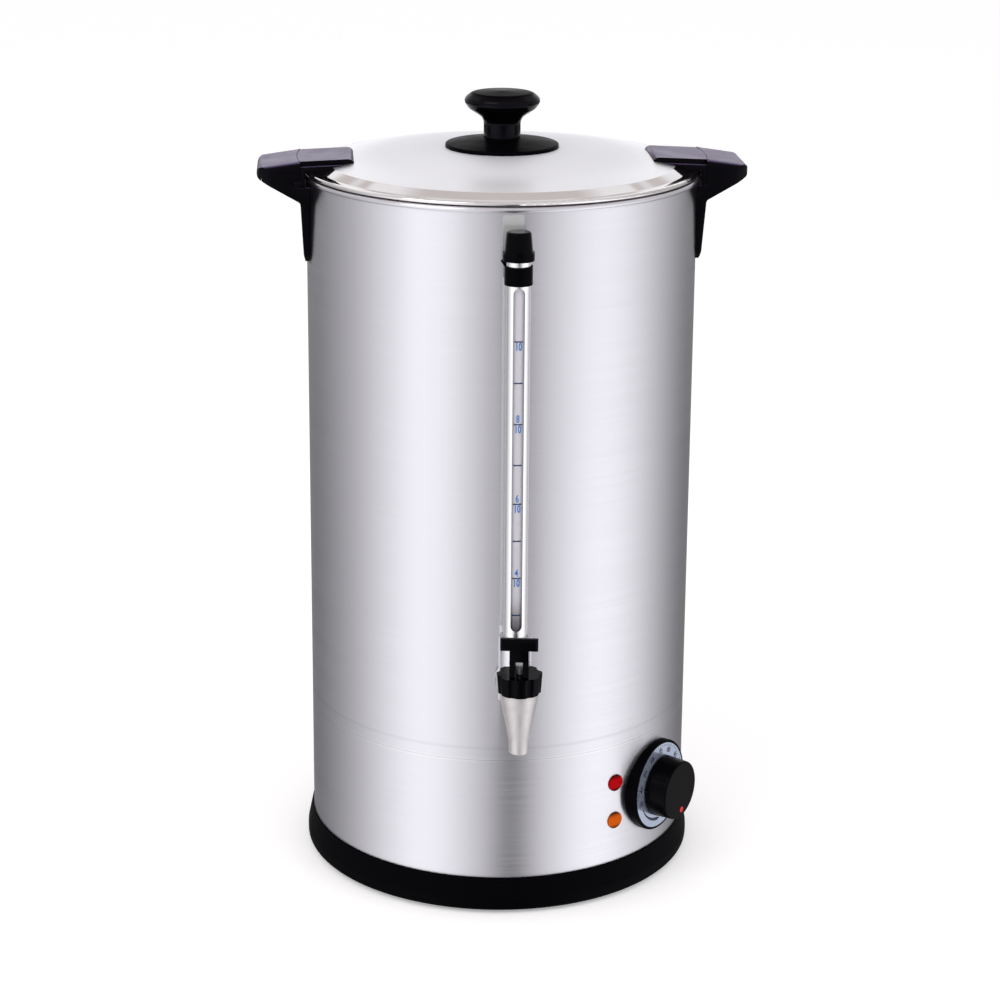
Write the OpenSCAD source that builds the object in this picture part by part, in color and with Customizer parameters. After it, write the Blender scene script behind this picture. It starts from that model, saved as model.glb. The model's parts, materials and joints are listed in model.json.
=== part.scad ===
// Hot water urn: a stainless tank on a plastic base, with a twist-lock lid,
// a sight gauge, a lever tap, a thermostat dial and the heater under its floor.
// The front is -Y, and the part stands on z = 0.

/* [Tank] */
// Outer diameter of the tank body
body_d = 300; // [280:1:320]
// Height of the tank rim above the table
body_top = 550; // [520:1:600]
// Thickness of the steel sheet
sheet = 1; // [0.8:0.1:1.3]
// Radius of the rolled bead at the rim
bead_r = 1.9; // [1.6:0.1:2]
// Height of the tank floor above the table
floor_z = 126; // [118:1:134]
// Height of the welded flange around the tank floor
floor_flange = 9; // [6:0.5:12]

/* [Base] */
// Height of the top edge of the base ring
ring_top = 28; // [24:0.5:34]
// How far the base ring flares out past the body
ring_flare = 4.9; // [3:0.1:7]
// Height of the feet below the base ring
foot_show = 2; // [1:0.5:4]
// Diameter of a foot
foot_d = 18; // [14:1:24]
// Distance of the feet from the tank's axis
foot_ring = 128; // [115:1:134]
// Height of the base plate's underside
plate_z = 5; // [4:0.5:7]

/* [Lid] */
// Gap between the tank rim and the lid
lid_gap = 0.8; // [0.4:0.1:0.9]
// Radius of the lid's shoulder where the dome starts
shoulder_in = 16; // [12:0.5:18]
// Height of the shoulder above the lid's ledge
shoulder_h = 4; // [3:0.2:6]
// Rise of the dome above the shoulder
dome_h = 11.4; // [9:0.2:14]
// Depth of the lid's plug inside the tank
plug_h = 10; // [8:0.5:11]
// Diameter of the skirt under the lid knob
skirt_d = 87; // [70:1:96]
// Diameter of the lid knob's head
knob_d = 60; // [52:1:66]
// Diameter of the lid knob's neck
neck_d = 28.2; // [24:0.2:32]
// Height of the lid knob above the dome
knob_h = 41.6; // [38:0.2:50]

/* [Handles] */
// Width of the handles and lid lugs
handle_w = 62; // [56:1:70]
// How far the handles reach out from the body
handle_reach = 37; // [34:1:42]
// Height of the handle's top above the rim, at the parting
handle_rise = 11.5; // [11:0.5:14]
// Drop of the handle's top towards its tip
handle_drop = 4.5; // [3:0.5:6]
// Thickness of the handle's walls
handle_wall = 3.5; // [3:0.1:4.5]
// Height of the handle's tip
tip_h = 8; // [6:0.5:9]
// Length of the tail that runs down the body
tail_len = 47.6; // [36:0.2:56]
// Distance of the parting between handle and lug from the body
parting = 6.5; // [6:0.1:7.5]
// Reach of the lid lug over the dome, from the parting
lug_len = 43.5; // [38:0.5:50]
// How far the bayonet tongue hooks into the handle
tongue = 5.7; // [4:0.1:6.5]

/* [Gauge] */
// Distance of the gauge's axis from the body
gauge_out = 16; // [15:0.5:19]
// Diameter of the gauge shield
shield_d = 18.2; // [17:0.2:19]
// Width of the slot in the shield
slot_w = 8.4; // [7:0.2:10]
// Diameter of the sight glass
glass_d = 12.4; // [11:0.2:13]
// Distance of the gauge cap's top below the rim
cap_down = 14; // [10:1:24]
// Height of the gauge cap above its flange
cap_h = 14.8; // [12:0.2:18]
// Width of the polished strip behind the gauge
strip_w = 15.6; // [12:0.2:18]
// Sideways place of the strip, from the gauge's axis
strip_shift = -2.4; // [-3.4:0.2:3.4]

/* [Tap] */
// Distance of the spout's axis from the body
tap_out = 58; // [54:1:64]
// Height of the tap's shank above the table
tap_z = 193; // [180:1:230]
// Diameter of the tap body at the bonnet
tap_d = 28; // [26:0.5:30]
// Diameter of the spout's end
spout_d = 14.4; // [13:0.2:16]
// Length of the spout below the shank's axis
spout_len = 35.5; // [30:0.5:42]
// Diameter of the bonnet's top
bonnet_d = 33.2; // [32.4:0.2:36]
// Height of the bonnet
bonnet_h = 14; // [12.5:0.5:16]
// Width of the lever's grip
grip_w = 27.5; // [22:0.5:32]
// Thickness of the lever's grip
grip_t = 7; // [6:0.5:9]
// Turn of the lever about the stem at rest, in degrees
lever_turn = -7; // [-30:1:30]
// Lift of the stem for each radian of lever travel
lift_rate = 9; // [8:0.1:9.4]

/* [Controls] */
// Angle of the dial from the front, in degrees
dial_az = 51; // [47:0.1:60]
// Height of the dial's centre
dial_z = 78.5; // [74:0.5:84]
// Diameter of the dial's bezel
bezel_d = 72.2; // [70.8:0.2:76]
// How far the bezel's face stands out from the body
bezel_out = 5.5; // [4.5:0.5:8]
// Diameter of the printed dial plate
plate_d = 67.6; // [60:0.2:67.8]
// Diameter of the dial knob at its base
dial_knob_d = 48.2; // [42:0.2:52]
// Length of the dial knob
dial_knob_h = 18; // [14:0.2:20]
// Angle of the lamps from the front, in degrees
lamp_az = 33.1; // [28:0.5:34]
// Diameter of a lamp lens
lamp_d = 13.4; // [12:0.2:16]
// Heights of the heating lamp and the keep-warm lamp
lamp_zs = [93.8, 62.5];

/* [Inside] */
// Diameter of the heater plate under the floor
heater_d = 190; // [150:5:220]
// Thickness of the heater plate
heater_t = 7; // [5:0.5:10]
// Diameter of a heating tube
tube_d = 8; // [6:0.5:9]
// Travel of the reset button
reset_travel = 2; // [1.5:0.1:2.5]

/* [Hidden] */
$fn = 96;

// Clearances between pieces
fit = 0.15;
run = 0.05;
free = 0.4;
eps = 1;

// Tank and base
body_r = body_d / 2;
bore_r = body_r - sheet;
shell_z = plate_z + 8;
seam_z = floor_z - sheet;
bead_c = body_r - sheet + bead_r;
ring_r = body_r + ring_flare;
ring_in = bore_r - 5;
plate_t = 1.5;
front_reach = body_r + tap_out + bonnet_d / 2;
gland_out = 6;
back_reach = body_r + gland_out;
axis_y = (front_reach - back_reach) / 2;

// Lid: rim, ledge, shoulder and dome
rim_r = 1.5;
rim_c = [body_r + 0.2, body_top + lid_gap + rim_r];
ledge_z = rim_c.y + rim_r - 0.3;
shoulder_r = body_r - shoulder_in;
shoulder_z = ledge_z + shoulder_h;
lid_top = shoulder_z + dome_h;
dome_rho = (shoulder_r * shoulder_r + dome_h * dome_h) / (2 * dome_h);
plug_r = bore_r - 2.5;
dome_steps = 18;
lid_outer = concat(
    [[rim_c.x, rim_c.y + rim_r]],
    rounded_path([[body_r - 1.4, ledge_z + 0.3, 1], [shoulder_r + 8.6, ledge_z, 1.2],
                  [shoulder_r, shoulder_z, 2], [shoulder_r - 12, dome_z(shoulder_r - 12), 0]]),
    [for (i = [1:dome_steps]) let (r = (shoulder_r - 12) * (1 - i / dome_steps)) [r, dome_z(r)]]
);

// Handles, lugs and the bayonet between them
part_r = body_r + parting;
tip_r = body_r + handle_reach;
handle_top = body_top + handle_rise;
tip_top = handle_top - handle_drop;
skirt_in = body_r + bead_r * 2 - sheet + 0.6;
skirt_bottom = body_top - 2 * bead_r - 3.8;
tongue_t = 3.8;
tongue_r = part_r + tongue;
slot_stop = 5;
slant_z = skirt_bottom - 12;
tail_z = slant_z - tail_len;
lug_in = part_r - lug_len;
lug_rise = 2;
edge_round = 4;
screw_az = 9;
handle_screw_z = slant_z + 3;
lug_screw_r = shoulder_r - 7;

// Gauge
gauge_r = body_r + gauge_out;
cap_top = body_top - cap_down;
cap_flange_z = cap_top - cap_h;
cap_flange_h = 6;
cap_flange_d = shield_d + 4.6;
collar_d = shield_d + 2.2;
collar_h = 13.6;
collar_z = cap_flange_z - cap_flange_h - 3.8 - collar_h;
tee_r = shield_d / 2 + 3.1;
tee_top = tap_z + 39;
socket_z = tee_top - 9;
strip_t = 1.2;
glass_wall = 1.6;
seal_h = 5;
shield_wall = 0.9;

// Tap
tap_r = body_r + tap_out;
shank_r = 9;
water_r = 5;
bonnet_z = tap_z + 12;
bonnet_top = bonnet_z + bonnet_h;
pin_up = 7.7;
pin_z = bonnet_top + pin_up;
pin_r = 1.6;
stem_r = 2.4;
eye_r = 4.4;
eye_t = 5;
cheek_t = 4;
fork_w = eye_t + 2 * free + 2 * cheek_t;
heel = pin_up - 0.3;
seat_z = tap_z - 9;
cup_r = tap_d / 2 - 4.4;
nut_h = 8;
boss_len = 18;
shank_end = 13;
spring_turns = 5;
wire_r = 0.6;
spring_r = 6.2;
spring_top = bonnet_top - 4.3;
spring_bottom = tap_z + 3.8;

// Dial and lamps
dial_face = body_r + bezel_out;
dial_plate_t = 1;
knob_gap = 0.6;
shaft_r = 3;
thermo_neck_r = 6;
thermo_box = [40, 32, 24];
thermo_front = bore_r - 3;
thermo_back = thermo_front - 3 - thermo_box.z;
shaft_bore = shaft_r + run;
pointer_turn = -83;
pointer_r = dial_knob_d / 2 - 7.2;
pointer_d = 4.6;
lamp_stem_r = 5.2;
lens_depth = 11.8;

// Inside the base
heater_z = floor_z - sheet - 0.2 - heater_t;
keep_ring = 40;
heat_ring = heater_d / 2 - 22;
reset_xy = [0, 62];
gland_bore = 4;
gland_z = 52;

function unit(v) = v / norm(v);
function dome_z(r) = lid_top - dome_rho + sqrt(dome_rho * dome_rho - r * r);
function turn_to(a, b) = let (d = b - a) d > 180 ? d - 360 : d < -180 ? d + 360 : d;
function xy(p) = [p[0], p[1]];

// Points of an arc that rounds the corner q, between p and s, by the radius q[2]
function corner(p, q, s, n = 5) =
    let (u = unit(xy(p) - xy(q)), v = unit(xy(s) - xy(q)), half = acos(u * v) / 2, r = q[2])
    let (c = xy(q) + unit(u + v) * r / sin(half), reach = r / tan(half))
    let (a = xy(q) + u * reach - c, b = xy(q) + v * reach - c)
    let (a0 = atan2(a.y, a.x), da = turn_to(a0, atan2(b.y, b.x)))
    r <= 0 ? [xy(q)] : [for (i = [0:n]) c + r * [cos(a0 + da * i / n), sin(a0 + da * i / n)]];

// A closed outline, or an open path, whose corners are rounded by their third number
function rounded(pts) =
    let (m = len(pts)) [for (i = [0:m - 1]) each corner(pts[(i + m - 1) % m], pts[i], pts[(i + 1) % m])];
function rounded_path(pts) =
    let (m = len(pts))
    [for (i = [0:m - 1]) each (i == 0 || i == m - 1 ? [xy(pts[i])] : corner(pts[i - 1], pts[i], pts[i + 1]))];

// The same path moved sideways by the distance t
function normal_at(p, i) =
    let (a = p[max(i - 1, 0)], b = p[min(i + 1, len(p) - 1)], d = unit(b - a)) [d.y, -d.x];
function beside(p, t) = [for (i = [0:len(p) - 1]) let (q = p[i] - t * normal_at(p, i)) [max(q.x, 0), q.y]];

module on_axis() { translate([0, axis_y, 0]) children(); }

// Turns the children's +Z outwards, at an angle from the front and a height
module outward(az, z) { on_axis() rotate([0, 0, az]) translate([0, 0, z]) rotate([90, 0, 0]) children(); }

module ring(r_out, r_in, h) {
    difference() {
        cylinder(r = r_out, h = h);
        translate([0, 0, -eps]) cylinder(r = r_in, h = h + 2 * eps);
    }
}

// A pan-head screw along +Z whose head's underside is at z = 0
module pan_screw(d, len, head_d, head_h) {
    translate([0, 0, -head_h]) difference() {
        cylinder(d = head_d, h = head_h);
        translate([-head_d * 0.3, -0.5, -eps]) cube([head_d * 0.6, 1, eps + head_h * 0.4]);
    }
    cylinder(d = d, h = len);
}

module tank_wall() {
    color("lightsteelblue") difference() {
        on_axis() rotate_extrude() union() {
            translate([bore_r, seam_z]) square([sheet, body_top - bead_r - seam_z]);
            translate([bead_c, body_top - bead_r]) circle(bead_r);
        }
        outward(0, tap_z) cylinder(r = shank_r + fit, h = body_r + eps);
        handle_screw_places() cylinder(d = 4.4, h = body_r + eps);
    }
}

module base_skirt() {
    color("lightsteelblue") difference() {
        on_axis() translate([0, 0, shell_z]) ring(body_r, bore_r, seam_z - fit - shell_z);
        outward(dial_az, dial_z) cylinder(r = thermo_neck_r + fit, h = body_r + eps);
        outward(dial_az, dial_z) dial_screw_places() cylinder(d = 4.4, h = body_r + eps);
        for (z = lamp_zs) outward(lamp_az, z) cylinder(r = lamp_stem_r + fit, h = body_r + eps);
        outward(180, gland_z) cylinder(r = gland_bore + 3 + fit, h = body_r + eps);
    }
}

module tank_floor() {
    color("silver") on_axis() {
        translate([0, 0, floor_z - sheet]) cylinder(r = bore_r - fit, h = sheet);
        translate([0, 0, floor_z]) ring(bore_r - fit, bore_r - fit - sheet, floor_flange);
    }
}

module base_ring() {
    out = rounded([
        [body_r + fit, ring_top, 0], [body_r + 1.4, ring_top, 0.5], [ring_r, ring_top - 17, 14],
        [ring_r, foot_show, 3], [ring_in, foot_show, 1], [ring_in, shell_z + 8, 1],
        [bore_r - fit, shell_z + 8, 0.5], [bore_r - fit, shell_z, 0], [body_r + fit, shell_z, 0]
    ]);
    color("black") difference() {
        on_axis() rotate_extrude() polygon(out);
        on_axis() translate([0, 0, foot_show - eps])
            cylinder(r = ring_in + 2, h = plate_z + plate_t + fit - foot_show + eps);
        base_screw_places() translate([0, 0, plate_z]) cylinder(d = 3.2, h = 14);
    }
}

module base_screw_places() {
    for (a = [0:90:270]) on_axis() rotate([0, 0, a]) translate([ring_in - 6, 0, 0]) children();
}

module foot_places() {
    for (a = [45:90:315]) on_axis() rotate([0, 0, a]) translate([foot_ring, 0, 0]) children();
}

module base_plate() {
    color("dimgray") difference() {
        on_axis() translate([0, 0, plate_z]) union() {
            cylinder(r = ring_in + 1.6, h = plate_t);
            translate([0, 0, plate_t]) ring(100, 92, 2);
            translate([0, 0, plate_t]) base_bosses();
        }
        base_screw_places() translate([0, 0, plate_z - eps]) cylinder(d = 3.6, h = 20);
        foot_places() translate([0, 0, plate_z - eps]) cylinder(d = 6 + 2 * fit, h = 20);
        on_axis() translate([reset_xy.x, reset_xy.y, plate_z - eps]) cylinder(d = 9, h = 20);
    }
}

// Pads that the base screws pass through
module base_bosses() {
    for (a = [0:90:270]) rotate([0, 0, a]) translate([ring_in - 6, 0, 0]) cylinder(d = 8, h = 3);
}

module feet() {
    color("#202020") foot_places() union() {
        cylinder(d1 = foot_d - 2, d2 = foot_d, h = plate_z - run);
        cylinder(d = 6, h = plate_z + plate_t + 3);
        translate([0, 0, plate_z + plate_t + run]) cylinder(d = 8, h = 2.5);
    }
}

module base_screws() {
    color("silver") base_screw_places() translate([0, 0, plate_z]) pan_screw(3, 9, 6.5, 2.2);
}

// Handle on the +X side: an outline swept across, rounded at its outer corners
module handle() {
    profile = rounded([
        [body_r - 4, handle_top + 3, 0], [part_r, handle_top, 0], [tip_r, tip_top, 5],
        [tip_r, tip_top - tip_h, 4],
        [body_r + 4.4, slant_z, 3], [body_r + 2.4, tail_z + 7, 8], [body_r + 1, tail_z, 0.5],
        [body_r - 4, tail_z, 0]
    ]);
    plan = rounded([
        [body_r - 20, -handle_w / 2, 0], [tip_r, -handle_w / 2, 12], [tip_r, handle_w / 2, 12],
        [body_r - 20, handle_w / 2, 0]
    ]);
    difference() {
        intersection() {
            rotate([90, 0, 0]) translate([0, 0, -handle_w / 2]) linear_extrude(handle_w) polygon(profile);
            translate([0, 0, tail_z - eps]) linear_extrude(handle_top - tail_z + 8) polygon(plan);
            tail_taper();
        }
        translate([0, 0, tail_z - eps]) cylinder(r = body_r + fit, h = tail_len + 40);
        translate([0, 0, skirt_bottom - free]) cylinder(r = part_r + free, h = handle_top);
        bayonet_slot();
        finger_space();
        edge_cutter(part_r, handle_top, tip_r, tip_top);
    }
}

// Narrows the handle towards the foot of its tail
module tail_taper() {
    outline = rounded([
        [-handle_w / 2, handle_top + 5, 0], [handle_w / 2, handle_top + 5, 0], [handle_w / 2, slant_z, 20],
        [handle_w / 2 - 7, tail_z, 9], [7 - handle_w / 2, tail_z, 9], [-handle_w / 2, slant_z, 20]
    ]);
    rotate([90, 0, 90]) linear_extrude(tip_r + eps) polygon(outline);
}

// Groove for the lug's tongue, open at the end that it slides out of
module bayonet_slot() {
    intersection() {
        translate([0, 0, skirt_bottom - free]) cylinder(r = tongue_r + free, h = tongue_t + 2 * free);
        translate([body_r, slot_stop - handle_w / 2, skirt_bottom - eps])
            cube([40, handle_w, tongue_t + 2 * eps]);
    }
}

// Hollow under the handle's top, open below for the fingers
module finger_space() {
    hollow_w = handle_w - 2 * handle_wall;
    r0 = tongue_r + free + handle_wall;
    r1 = tip_r - handle_wall;
    slope = handle_drop / (tip_r - part_r);
    top0 = handle_top - slope * (r0 - part_r) - handle_wall;
    top1 = handle_top - slope * (r1 - part_r) - handle_wall;
    hollow = rounded([[r0, slant_z - 6, 0], [r0, top0, 3], [r1, top1, 3], [r1, slant_z - 6, 0]]);
    rotate([90, 0, 0]) translate([0, 0, -hollow_w / 2]) linear_extrude(hollow_w) polygon(hollow);
}

// Rounds the two long top edges of a bar between two points of its sloping top
module edge_cutter(r0, z0, r1, z1) {
    tilt = atan2(z0 - z1, r1 - r0);
    for (s = [-1, 1]) translate([r0, s * handle_w / 2, z0]) rotate([0, tilt, 0]) translate([-80, 0, 0])
        rotate([90, 0, 90])
        linear_extrude(160) difference() {
            translate([-edge_round, -edge_round]) square(2 * edge_round);
            translate([-s * edge_round, -edge_round]) circle(edge_round, $fn = 32);
            translate([-s * edge_round - edge_round, -3 * edge_round]) square(2 * edge_round);
            translate([-s * 2 * edge_round - edge_round, -edge_round]) square(2 * edge_round);
        }
}

module handle_left() {
    color("#151515") difference() {
        on_axis() rotate([0, 0, 180]) handle();
        handle_screw_places() cylinder(d = 3.2, h = body_r + 6.4);
    }
}

module handle_right() {
    color("#151515") difference() {
        on_axis() handle();
        handle_screw_places() cylinder(d = 3.2, h = body_r + 6.4);
    }
}

module handle_screw_places() {
    for (side = [-90, 90], turn = [-screw_az, screw_az]) outward(side + turn, handle_screw_z) children();
}

module handle_screws() {
    color("silver") handle_screw_places() translate([0, 0, bore_r - 0.4]) pan_screw(3, 7.2, 7, 2.4);
}

module gauge_place(z) { on_axis() translate([0, -gauge_r, z]) children(); }

module gauge_strip() {
    strip_z = tap_z + shank_r + 6;
    color("gainsboro") on_axis() translate([strip_shift - strip_w / 2, -body_r - strip_t - 0.3, strip_z])
        cube([strip_w, strip_t, body_top - 2 * bead_r - 1.5 - strip_z]);
}

module gauge_shield() {
    low = socket_z + fit;
    high = cap_flange_z - cap_flange_h - 0.3;
    slot_low = tee_top + 6;
    slot_high = collar_z - 1.6;
    color("white") difference() {
        gauge_place(low) ring(shield_d / 2, shield_d / 2 - shield_wall, high - low);
        gauge_place(0) for (z = [slot_low + slot_w / 2, slot_high - slot_w / 2])
            translate([0, 0, z]) rotate([90, 0, 0]) cylinder(d = slot_w, h = shield_d);
        gauge_place(slot_low + slot_w / 2) translate([-slot_w / 2, -shield_d, 0])
            cube([slot_w, shield_d, slot_high - slot_low - slot_w]);
    }
}

module gauge_glass() {
    low = tap_z + shank_r + 2;
    color("aliceblue", 0.5) gauge_place(low)
        ring(glass_d / 2, glass_d / 2 - glass_wall, cap_flange_z + 5 - low);
}

module gauge_collar() {
    arm_w = 8;
    arm_len = gauge_out - strip_t - 0.4 - collar_d / 2 + 3;
    tab = 5;
    color("#151515") gauge_place(collar_z) difference() {
        union() {
            cylinder(d = collar_d, h = collar_h);
            translate([-arm_w / 2, collar_d / 2 - 3, 2]) cube([arm_w, arm_len, collar_h - 4]);
            translate([-collar_d / 2 + 1, 1, collar_h - 2]) rotate([0, -35, 0]) cube([2.2, tab, 5.6]);
        }
        translate([0, 0, -eps]) cylinder(d = shield_d + 2 * fit, h = collar_h + 2 * eps + 8);
    }
}

module gauge_cap() {
    knurls = 32;
    low = cap_flange_z - cap_flange_h;
    body = rounded([
        [0, cap_h, 0], [cap_flange_d / 2 - 2.5, cap_h, 2], [cap_flange_d / 2 - 1.1, 0, 0], [0, 0, 0]
    ]);
    color("#101010") gauge_place(low) difference() {
        union() {
            cylinder(d = cap_flange_d, h = cap_flange_h);
            translate([0, 0, cap_flange_h]) rotate_extrude() polygon(body);
        }
        for (i = [0:knurls - 1]) rotate([0, 0, i * 360 / knurls])
            translate([cap_flange_d / 2 + 0.2, 0, -eps])
            cylinder(r = 0.7, h = cap_flange_h - 0.8 + eps, $fn = 24);
        translate([0, 0, -eps]) cylinder(d = glass_d + 2 * fit, h = cap_flange_h + 5 + fit + eps);
        cylinder(r = 0.6, h = cap_flange_h + cap_h + eps, $fn = 24);
    }
}

module gauge_seal() {
    color("#303030") gauge_place(tee_top - 9 - seal_h - fit)
        ring(shield_d / 2 - 0.2, glass_d / 2 + run, seal_h);
}

// Shank through the tank wall, with the upright boss that feeds the gauge
module tap_tee() {
    inner_end = bore_r - 16;
    flange_r = shank_r + 5;
    color("silver") difference() {
        union() {
            outward(0, tap_z) translate([0, 0, inner_end])
                cylinder(r = shank_r, h = tap_r - shank_end - inner_end);
            outward(0, tap_z) translate([0, 0, body_r + 2.3]) cylinder(r = flange_r, h = 3);
            gauge_place(tap_z - shank_r - 1.5) cylinder(r = tee_r, h = tee_top - tap_z + shank_r + 1.5);
        }
        outward(0, tap_z) translate([0, 0, inner_end - eps]) cylinder(r = water_r, h = tap_r);
        gauge_place(tap_z) cylinder(r = glass_d / 2 - glass_wall, h = tee_top);
        gauge_place(tap_z + shank_r + 2 - fit) cylinder(r = glass_d / 2 + run, h = tee_top);
        gauge_place(socket_z - seal_h - 2 * fit) cylinder(r = shield_d / 2 + fit, h = tee_top);
        on_axis() translate([0, -body_r - strip_t - 0.3, tap_z + shank_r + 3]) translate([-strip_w, 0, 0])
            cube([2 * strip_w, strip_t + 1, tee_top]);
    }
}

module tap_place(z) { on_axis() translate([0, -tap_r, z]) children(); }

module tap_body() {
    end_z = -spout_len;
    out = rounded([
        [water_r, 21, 0], [tap_d / 2 - 2, 21, 0], [tap_d / 2 - 2, 12, 0], [tap_d / 2, 12, 0.4],
        [tap_d / 2 - 0.3, 6, 8], [spout_d / 2 + 0.4, -25, 9], [spout_d / 2, end_z, 0.4],
        [water_r, end_z, 0.4]
    ]);
    chamber = rounded([[0, 22, 0], [tap_d / 2 - 4, 22, 0], [tap_d / 2 - 4, -2, 1],
        [water_r + 0.2, -9, 1], [0, -9, 0]]);
    color("silver") difference() {
        union() {
            tap_place(tap_z) rotate_extrude() polygon(out);
            outward(0, tap_z) translate([0, 0, tap_r - boss_len])
                cylinder(r = shank_r + 2.2, h = boss_len - 4);
        }
        tap_place(tap_z) rotate_extrude() polygon(chamber);
        outward(0, tap_z) translate([0, 0, tap_r - tap_d])
            cylinder(r = shank_r + run, h = tap_d - shank_end + fit);
        outward(0, tap_z) translate([0, 0, tap_r - tap_d]) cylinder(r = water_r, h = tap_d);
    }
}

module tap_bonnet() {
    lobes = 8;
    flute_r = 6;
    wall = [
        [tap_d / 2 - 2 + fit, 0], [bonnet_d / 2 - 0.9, 0], [bonnet_d / 2, bonnet_h],
        [stem_r + free, bonnet_h],
        [stem_r + free, bonnet_h - 4], [tap_d / 2 - 2 + fit, bonnet_h - 4]
    ];
    color("#121212") tap_place(bonnet_z) difference() {
        rotate_extrude() polygon(wall);
        for (i = [0:lobes - 1]) rotate([0, 0, (i + 0.5) * 360 / lobes])
            translate([bonnet_d / 2 + flute_r - 1.8, 0, -eps])
            cylinder(r = flute_r, h = bonnet_h + 2 * eps);
    }
}

module tap_washers() {
    color("#404040") outward(0, tap_z) {
        translate([0, 0, body_r + 0.3]) ring(shank_r + 4.6, shank_r + fit, 2);
        translate([0, 0, bore_r - 3]) ring(shank_r + 4.6, shank_r + fit, 2);
    }
}

module tap_nut() {
    color("silver") outward(0, tap_z) translate([0, 0, bore_r - 3 - fit - nut_h]) difference() {
        cylinder(r = shank_r + 5, h = nut_h, $fn = 6);
        translate([0, 0, -eps]) cylinder(r = shank_r + fit, h = nut_h + 2 * eps);
    }
}

module tap_stem() {
    low = seat_z + 2.2;
    color("lightgray") tap_place(0) rotate([0, 0, lever_turn]) difference() {
        union() {
            translate([0, 0, low]) cylinder(r = stem_r, h = pin_z - 2 - low);
            translate([0, 0, spring_bottom - 2]) cylinder(r = spring_r + 0.9, h = 1.7);
            translate([-eye_t / 2, 0, pin_z]) rotate([0, 90, 0]) cylinder(r = eye_r, h = eye_t);
        }
        translate([-eye_t, 0, pin_z]) rotate([0, 90, 0]) cylinder(r = pin_r, h = 2 * eye_t);
    }
}

// Soft cup at the foot of the stem that closes the spout
module seat_cup() {
    cup = rounded([
        [0, 0, 0], [water_r + 0.2, 0, 0.6], [cup_r - 0.6, 6.6, 0.8], [cup_r - 0.6, 9, 0.6],
        [cup_r - 2, 9, 0.4],
        [stem_r + 2, 4.5, 0.6], [0, 4.5, 0]
    ]);
    color("whitesmoke") difference() {
        tap_place(seat_z + 0.6) rotate_extrude() polygon(cup);
        tap_place(seat_z + 2.2 - run) cylinder(r = stem_r + run, h = 20);
    }
}

// Compression spring: one wire swept along a helix, with its ends run square
module tap_spring() {
    steps = 10;
    sides = 6;
    rise = spring_top - spring_bottom - 2 * wire_r;
    n = spring_turns * steps;
    function centre(i) = let (a = 360 * i / steps)
        [spring_r * cos(a), spring_r * sin(a), wire_r + rise * i / n];
    function at(i, k) = let (a = 360 * i / steps, b = 360 * k / sides, q = centre(i))
        [q.x + wire_r * cos(b) * cos(a), q.y + wire_r * cos(b) * sin(a), q.z + wire_r * sin(b)];
    points = [for (i = [0:n], k = [0:sides - 1]) at(i, k)];
    wall = [for (i = [0:n - 1], k = [0:sides - 1], h = [0, 1])
        let (a = i * sides + k, b = i * sides + (k + 1) % sides)
        h == 0 ? [a, a + sides, b] : [b, a + sides, b + sides]];
    caps = [for (k = [1:sides - 2], e = [0, 1]) e == 0 ? [0, k, k + 1]
        : [n * sides, n * sides + k + 1, n * sides + k]];
    color("gray") tap_place(spring_bottom) polyhedron(points, concat(wall, caps));
    echo(spring_gap = rise / spring_turns - 2 * wire_r);
}

module lever_pin() {
    color("lightgray") tap_place(pin_z) rotate([0, 0, lever_turn]) translate([-fork_w / 2 - 0.6, 0, 0])
        rotate([0, 90, 0]) cylinder(r = pin_r - run, h = fork_w + 1.2);
}

// The heel's cam: it stays on the bonnet while the stem rises with the lever's angle
function cam_point(t) = let (p = heel + lift_rate * t * PI / 180)
    [-p * sin(t) - lift_rate * cos(t), lift_rate * sin(t) - p * cos(t)];

module tap_lever() {
    cam_end = 36;
    grip_z = 13.8;
    grip_h = 8.8;
    grip_front = 13.5;
    grip_back = grip_t - grip_front;
    cam = [for (t = [0:6:cam_end]) cam_point(t)];
    back = heel * 0.6;
    outline = concat(
        [[4.6, -back], [2.4, -heel]], cam,
        rounded_path([[cam[len(cam) - 1].x, cam[len(cam) - 1].y, 0], [-10.4, 4, 8],
            [1 - grip_front, grip_z, 0]]),
        [[1 - grip_front, grip_z + 1], [grip_back, grip_z + grip_h - 2], [grip_back + 1.5, grip_z + 2],
        [5.6, 7]]
    );
    grip = rounded([
        [-grip_front, grip_z, 1.6], [-grip_front, grip_z + grip_h, 2.2],
        [grip_back, grip_z + grip_h, 2.2], [grip_back, grip_z, 1.6]
    ]);
    color("#121212") tap_place(pin_z) rotate([0, 0, lever_turn]) difference() {
        union() {
            rotate([90, 0, 90]) translate([0, 0, -fork_w / 2]) linear_extrude(fork_w) polygon(outline);
            intersection() {
                rotate([90, 0, 90]) translate([0, 0, -grip_w / 2]) linear_extrude(grip_w) polygon(grip);
                translate([0, 0, grip_z - eps]) linear_extrude(grip_h + 2 * eps) polygon(rounded([
                    [-grip_w / 2, -grip_front, 3], [grip_w / 2, -grip_front, 3],
                    [grip_w / 2, grip_back, 3], [-grip_w / 2, grip_back, 3]
                ]));
            }
        }
        translate([-eye_t / 2 - free, -20, -heel - 10])
            cube([eye_t + 2 * free, 40, heel + 10 + eye_r + free]);
        translate([-fork_w, 0, 0]) rotate([0, 90, 0]) cylinder(r = pin_r, h = 2 * fork_w);
    }
}

module dial_screw_places() { for (s = [-1, 1]) translate([s * 14, 0, 0]) children(); }

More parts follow.
